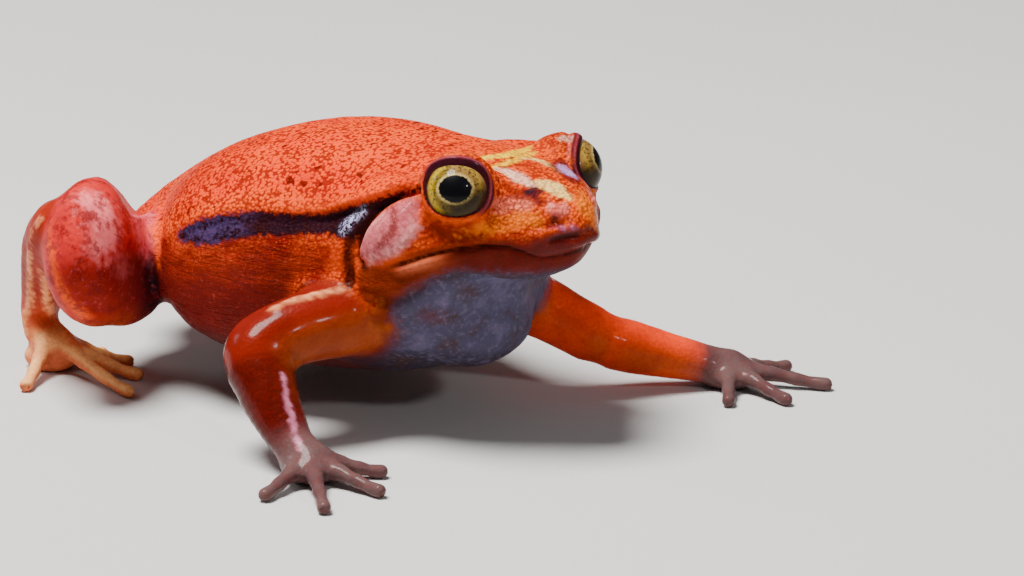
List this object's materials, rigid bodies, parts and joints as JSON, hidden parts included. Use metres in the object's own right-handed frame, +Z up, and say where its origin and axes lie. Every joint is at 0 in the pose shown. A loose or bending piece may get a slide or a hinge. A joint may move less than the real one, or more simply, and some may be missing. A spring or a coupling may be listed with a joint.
{
  "type": "tomato frog",
  "caption": "Tomato frog, adult female, life size, standing with one arm forward and the other back, head raised, big hind legs folded.",
  "frame": {"origin": "on the ground, at the middle of the frog's length and width", "axes": "+X towards the snout, +Y to the frog's left, +Z up"},
  "size_m": [0.101, 0.0962, 0.0447],
  "materials": {
    "head": "moist skin",
    "lower_jaw": "moist skin",
    "torso": "moist skin",
    "upper_arm": "moist skin",
    "forearm": "moist skin",
    "hand": "moist skin",
    "thigh": "moist skin",
    "shank": "moist skin",
    "tarsus": "moist skin",
    "foot": "moist skin",
    "eye": "wet gloss"
  },
  "bodies": {
    "root": {"head": "head", "lower_jaw": "lower_jaw", "torso": "torso", "eye_right": "eye", "upper_arm_right": "upper_arm", "forearm_right": "forearm", "hand_right": "hand", "thigh_right": "thigh", "shank_right": "shank", "tarsus_right": "tarsus", "foot_right": "foot", "eye_left": "eye", "upper_arm_left": "upper_arm", "forearm_left": "forearm", "hand_left": "hand", "thigh_left": "thigh", "shank_left": "shank", "tarsus_left": "tarsus", "foot_left": "foot"}
  },
  "joints": []
}
